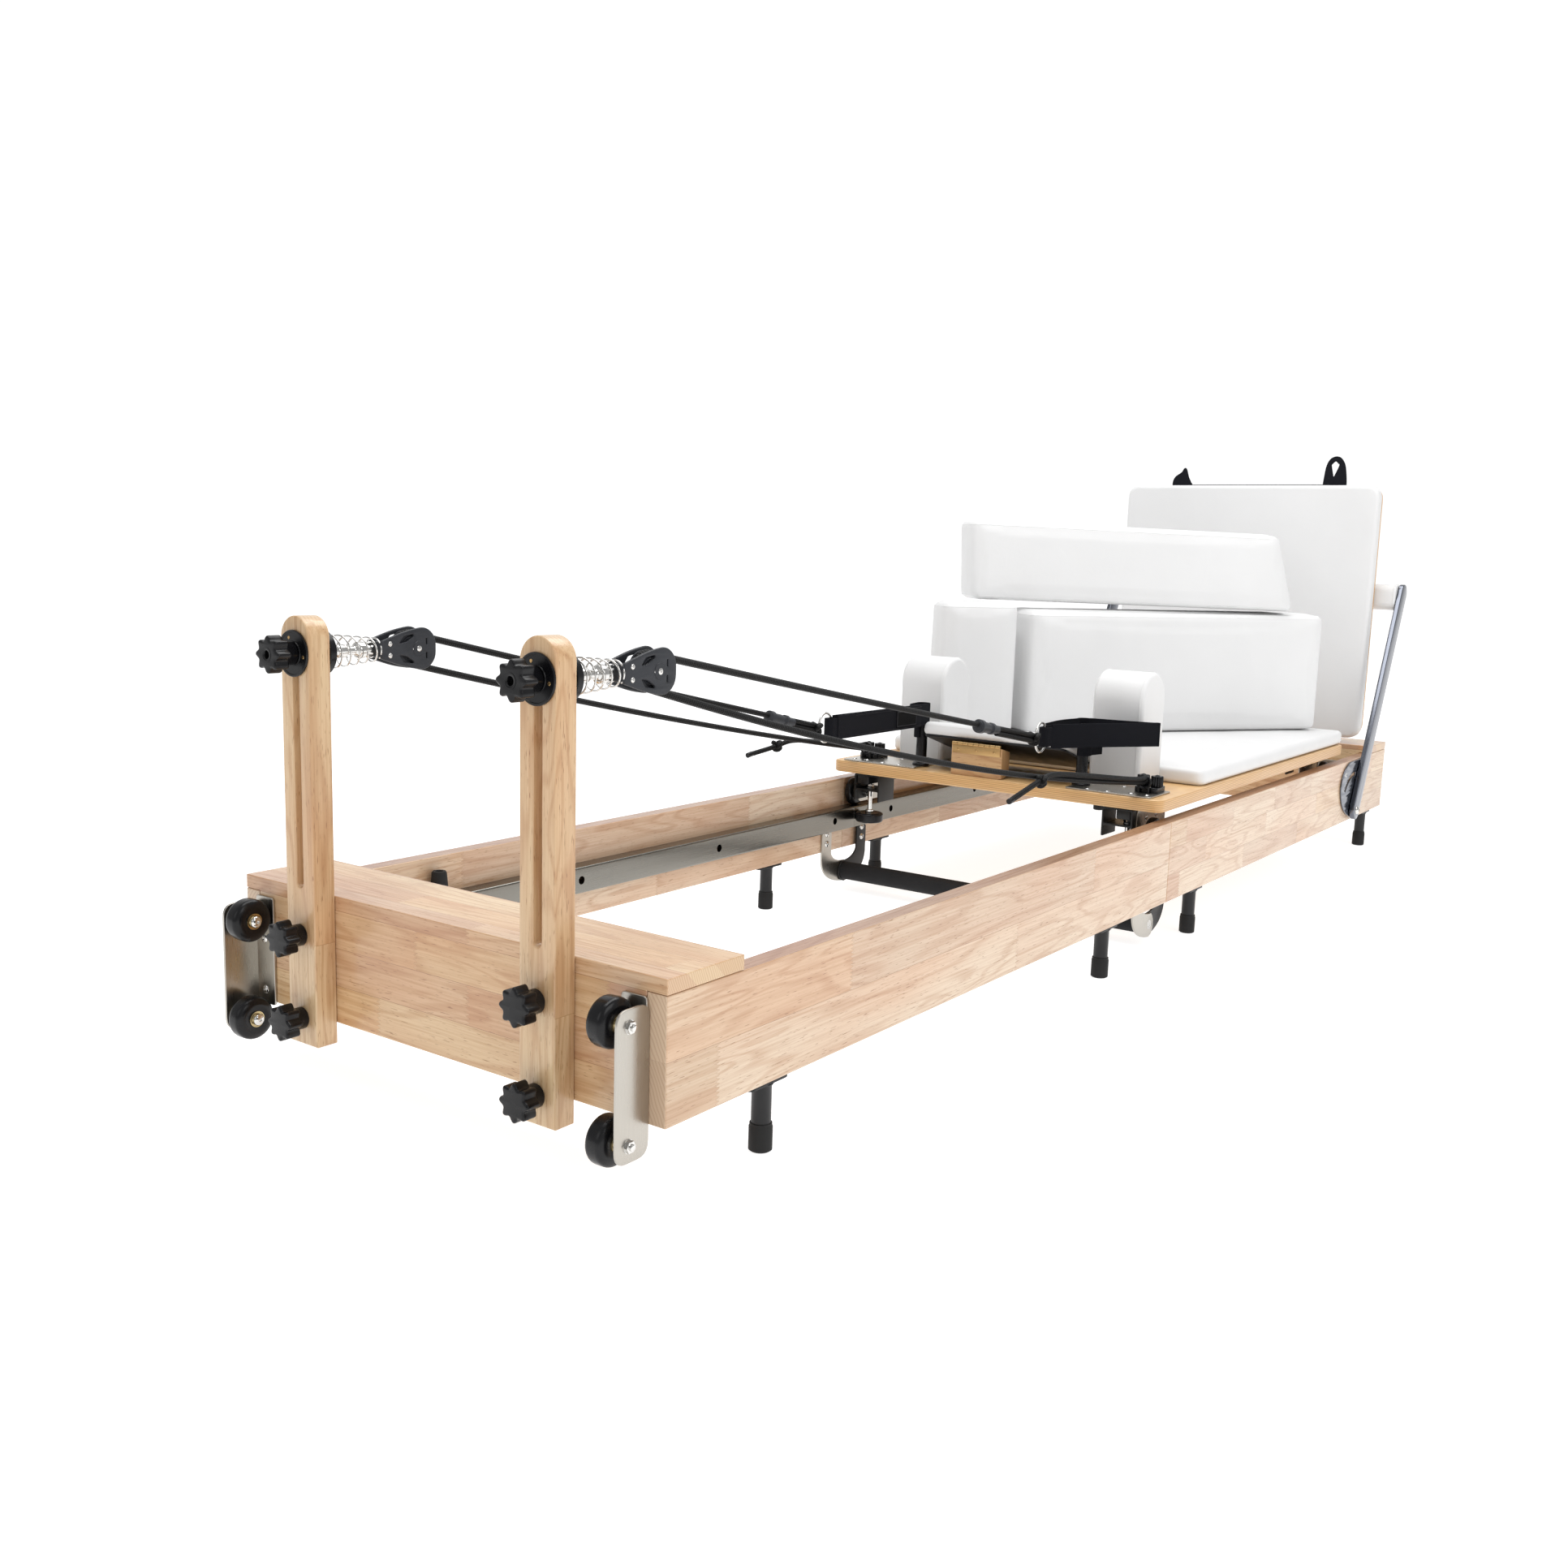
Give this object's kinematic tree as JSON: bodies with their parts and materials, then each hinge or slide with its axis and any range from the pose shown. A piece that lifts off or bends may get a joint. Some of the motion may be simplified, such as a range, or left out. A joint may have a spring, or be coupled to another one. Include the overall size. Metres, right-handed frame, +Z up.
{
  "type": "pilates reformer",
  "caption": "Folding wooden pilates reformer with a sliding padded carriage, rope posts, foot bar, jump board and loose cushions.",
  "frame": {"origin": "middle of the bounding box in X and Y, on the floor", "axes": "+X towards the foot bar end, +Y to the left of a user lying with the head at the rope posts, +Z up"},
  "size_m": [2.5236, 0.6786, 0.84],
  "materials": {
    "rubberwood": "clear satin varnish",
    "plywood": "clear satin varnish",
    "brushed_steel": "brushed",
    "polished_steel": "polished",
    "black_steel": "semi-gloss",
    "black_foam": "matt foam",
    "black_plastic": "gloss",
    "black_wheel": "satin",
    "pulley_plastic": "satin",
    "black_rope": "braided",
    "black_webbing": "woven webbing",
    "white_leather": "soft artificial leather, fine grain"
  },
  "bodies": {
    "foot_frame": {"foot_rail_left": "rubberwood", "foot_rail_right": "rubberwood", "foot_end_board": "rubberwood", "foot_track_left": "brushed_steel", "foot_track_right": "brushed_steel", "foot_leg_1_left": "black_steel", "foot_leg_1_right": "black_steel", "foot_leg_2_left": "black_steel", "foot_leg_2_right": "black_steel", "foot_fold_yoke": "black_foam", "footbar_plate_left": "brushed_steel", "footbar_plate_right": "brushed_steel", "spring_set": "brushed_steel"},
    "head_frame": {"head_rail_left": "rubberwood", "head_rail_right": "rubberwood", "head_end_board": "rubberwood", "head_track_left": "brushed_steel", "head_track_right": "brushed_steel", "head_leg_1_left": "black_steel", "head_leg_1_right": "black_steel", "head_leg_2_left": "black_steel", "head_leg_2_right": "black_steel", "head_fold_yoke": "brushed_steel", "rope_post_left": "rubberwood", "rope_post_right": "rubberwood", "castor_bracket_left": "brushed_steel", "castor_bracket_right": "brushed_steel"},
    "carriage": {"carriage_board": "plywood", "carriage_pad": "white_leather", "carriage_chassis": "black_steel", "shoulder_rest_left": "white_leather", "shoulder_rest_right": "white_leather", "rope_plate_left": "black_webbing", "rope_plate_right": "black_webbing"},
    "headrest_body": {"headrest": "white_leather"},
    "prop_body": {"headrest_prop": "rubberwood"},
    "footbar_body": {"footbar": "polished_steel"},
    "jump_board_body": {"jump_board": "white_leather"},
    "lower_cushions": {"cushion_pair": "white_leather"},
    "top_cushion": {"cushion_top": "white_leather"},
    "riser_left": {"pulley_block_left": "pulley_plastic"},
    "sheave_left": {"pulley_sheave_left": "pulley_plastic"},
    "riser_knob_left": {"riser_knob_left": "black_plastic"},
    "rope_left": {"rope_left": "black_rope"},
    "post_knob_1_left": {"post_knob_1_left": "black_plastic"},
    "post_knob_2_left": {"post_knob_2_left": "black_plastic"},
    "castor_wheel_1_left": {"castor_wheel_1_left": "black_wheel"},
    "castor_wheel_2_left": {"castor_wheel_2_left": "black_wheel"},
    "carriage_wheel_1_left": {"carriage_wheel_1_left": "black_wheel"},
    "carriage_wheel_2_left": {"carriage_wheel_2_left": "black_wheel"},
    "riser_right": {"pulley_block_right": "pulley_plastic"},
    "sheave_right": {"pulley_sheave_right": "pulley_plastic"},
    "riser_knob_right": {"riser_knob_right": "black_plastic"},
    "rope_right": {"rope_right": "black_rope"},
    "post_knob_1_right": {"post_knob_1_right": "black_plastic"},
    "post_knob_2_right": {"post_knob_2_right": "black_plastic"},
    "castor_wheel_1_right": {"castor_wheel_1_right": "black_wheel"},
    "castor_wheel_2_right": {"castor_wheel_2_right": "black_wheel"},
    "carriage_wheel_1_right": {"carriage_wheel_1_right": "black_wheel"},
    "carriage_wheel_2_right": {"carriage_wheel_2_right": "black_wheel"}
  },
  "joints": [
    {"name": "fold_hinge", "type": "hinge", "parent": "foot_frame", "child": "head_frame", "pos_m": [0.0068, 0, 0.036], "axis": [0, -1, 0], "range_deg": [0, 180]},
    {"name": "carriage_slide", "type": "slide", "parent": "foot_frame", "child": "carriage", "axis": [-1, 0, 0], "range_m": [0, 0.92], "stiffness_N_per_m": 100, "deforming": ["spring_set", "rope_left", "rope_right"]},
    {"name": "headrest_tilt", "type": "hinge", "parent": "carriage", "child": "headrest_body", "pos_m": [0.1628, 0, 0.247], "axis": [0, 1, 0], "range_deg": [0, 20]},
    {"name": "prop_swing", "type": "hinge", "parent": "headrest_body", "child": "prop_body", "pos_m": [-0.0062, 0.022, 0.293], "axis": [0, 1, 0], "range_deg": [0, 80]},
    {"name": "footbar_pivot", "type": "hinge", "parent": "foot_frame", "child": "footbar_body", "pos_m": [1.0138, 0, 0.098], "axis": [0, 1, 0], "range_deg": [0, 60]},
    {"name": "jump_board_lift", "type": "slide", "parent": "foot_frame", "child": "jump_board_body", "axis": [0, 0, 1], "range_m": [0, 0.15]},
    {"name": "cushion_lift", "type": "slide", "parent": "carriage", "child": "lower_cushions", "axis": [0, 0, 1], "range_m": [0, 0.3]},
    {"name": "top_cushion_lift", "type": "slide", "parent": "lower_cushions", "child": "top_cushion", "axis": [0, 0, 1], "range_m": [0, 0.3]},
    {"name": "riser_slide_left", "type": "slide", "parent": "head_frame", "child": "riser_left", "axis": [0, 0, -1], "range_m": [0, 0.2]},
    {"name": "sheave_spin_left", "type": "hinge", "parent": "riser_left", "child": "sheave_left", "pos_m": [-1.0762, 0.181, 0.485], "axis": [0, 1, 0], "continuous": true},
    {"name": "riser_knob_turn_left", "type": "hinge", "parent": "riser_left", "child": "riser_knob_left", "pos_m": [-1.2292, 0.181, 0.485], "axis": [1, 0, 0], "continuous": true},
    {"name": "rope_swing_left", "type": "hinge", "parent": "riser_left", "child": "rope_left", "pos_m": [-1.0762, 0.181, 0.485], "axis": [0, -1, 0], "range_deg": [-1, 12]},
    {"name": "post_knob_1_turn_left", "type": "hinge", "parent": "head_frame", "child": "post_knob_1_left", "pos_m": [-1.2292, 0.181, 0.084], "axis": [1, 0, 0], "continuous": true},
    {"name": "post_knob_2_turn_left", "type": "hinge", "parent": "head_frame", "child": "post_knob_2_left", "pos_m": [-1.2292, 0.181, 0.178], "axis": [1, 0, 0], "continuous": true},
    {"name": "castor_1_spin_left", "type": "hinge", "parent": "head_frame", "child": "castor_wheel_1_left", "pos_m": [-1.2277, 0.276, 0.064], "axis": [0, 1, 0], "continuous": true},
    {"name": "castor_2_spin_left", "type": "hinge", "parent": "head_frame", "child": "castor_wheel_2_left", "pos_m": [-1.2277, 0.276, 0.178], "axis": [0, 1, 0], "continuous": true},
    {"name": "wheel_1_roll_left", "type": "hinge", "parent": "carriage", "child": "carriage_wheel_1_left", "pos_m": [0.0258, 0.283, 0.18], "axis": [0, -1, 0], "range_deg": [-5, 2140]},
    {"name": "wheel_2_roll_left", "type": "hinge", "parent": "carriage", "child": "carriage_wheel_2_left", "pos_m": [0.9258, 0.283, 0.18], "axis": [0, -1, 0], "range_deg": [-5, 2140]},
    {"name": "riser_slide_right", "type": "slide", "parent": "head_frame", "child": "riser_right", "axis": [0, 0, -1], "range_m": [0, 0.2]},
    {"name": "sheave_spin_right", "type": "hinge", "parent": "riser_right", "child": "sheave_right", "pos_m": [-1.0762, -0.181, 0.485], "axis": [0, 1, 0], "continuous": true},
    {"name": "riser_knob_turn_right", "type": "hinge", "parent": "riser_right", "child": "riser_knob_right", "pos_m": [-1.2292, -0.181, 0.485], "axis": [1, 0, 0], "continuous": true},
    {"name": "rope_swing_right", "type": "hinge", "parent": "riser_right", "child": "rope_right", "pos_m": [-1.0762, -0.181, 0.485], "axis": [0, -1, 0], "range_deg": [-1, 12]},
    {"name": "post_knob_1_turn_right", "type": "hinge", "parent": "head_frame", "child": "post_knob_1_right", "pos_m": [-1.2292, -0.181, 0.084], "axis": [1, 0, 0], "continuous": true},
    {"name": "post_knob_2_turn_right", "type": "hinge", "parent": "head_frame", "child": "post_knob_2_right", "pos_m": [-1.2292, -0.181, 0.178], "axis": [1, 0, 0], "continuous": true},
    {"name": "castor_1_spin_right", "type": "hinge", "parent": "head_frame", "child": "castor_wheel_1_right", "pos_m": [-1.2277, -0.276, 0.064], "axis": [0, 1, 0], "continuous": true},
    {"name": "castor_2_spin_right", "type": "hinge", "parent": "head_frame", "child": "castor_wheel_2_right", "pos_m": [-1.2277, -0.276, 0.178], "axis": [0, 1, 0], "continuous": true},
    {"name": "wheel_1_roll_right", "type": "hinge", "parent": "carriage", "child": "carriage_wheel_1_right", "pos_m": [0.0258, -0.283, 0.18], "axis": [0, -1, 0], "range_deg": [-5, 2140]},
    {"name": "wheel_2_roll_right", "type": "hinge", "parent": "carriage", "child": "carriage_wheel_2_right", "pos_m": [0.9258, -0.283, 0.18], "axis": [0, -1, 0], "range_deg": [-5, 2140]}
  ],
  "couplings": [
    {"joint": "rope_swing_left", "follows": "riser_slide_left", "rad_per_m": 0.95},
    {"joint": "wheel_1_roll_left", "follows": "carriage_slide", "rad_per_m": 40.486},
    {"joint": "wheel_2_roll_left", "follows": "carriage_slide", "rad_per_m": 40.486},
    {"joint": "rope_swing_right", "follows": "riser_slide_right", "rad_per_m": 0.95},
    {"joint": "wheel_1_roll_right", "follows": "carriage_slide", "rad_per_m": 40.486},
    {"joint": "wheel_2_roll_right", "follows": "carriage_slide", "rad_per_m": 40.486}
  ]
}
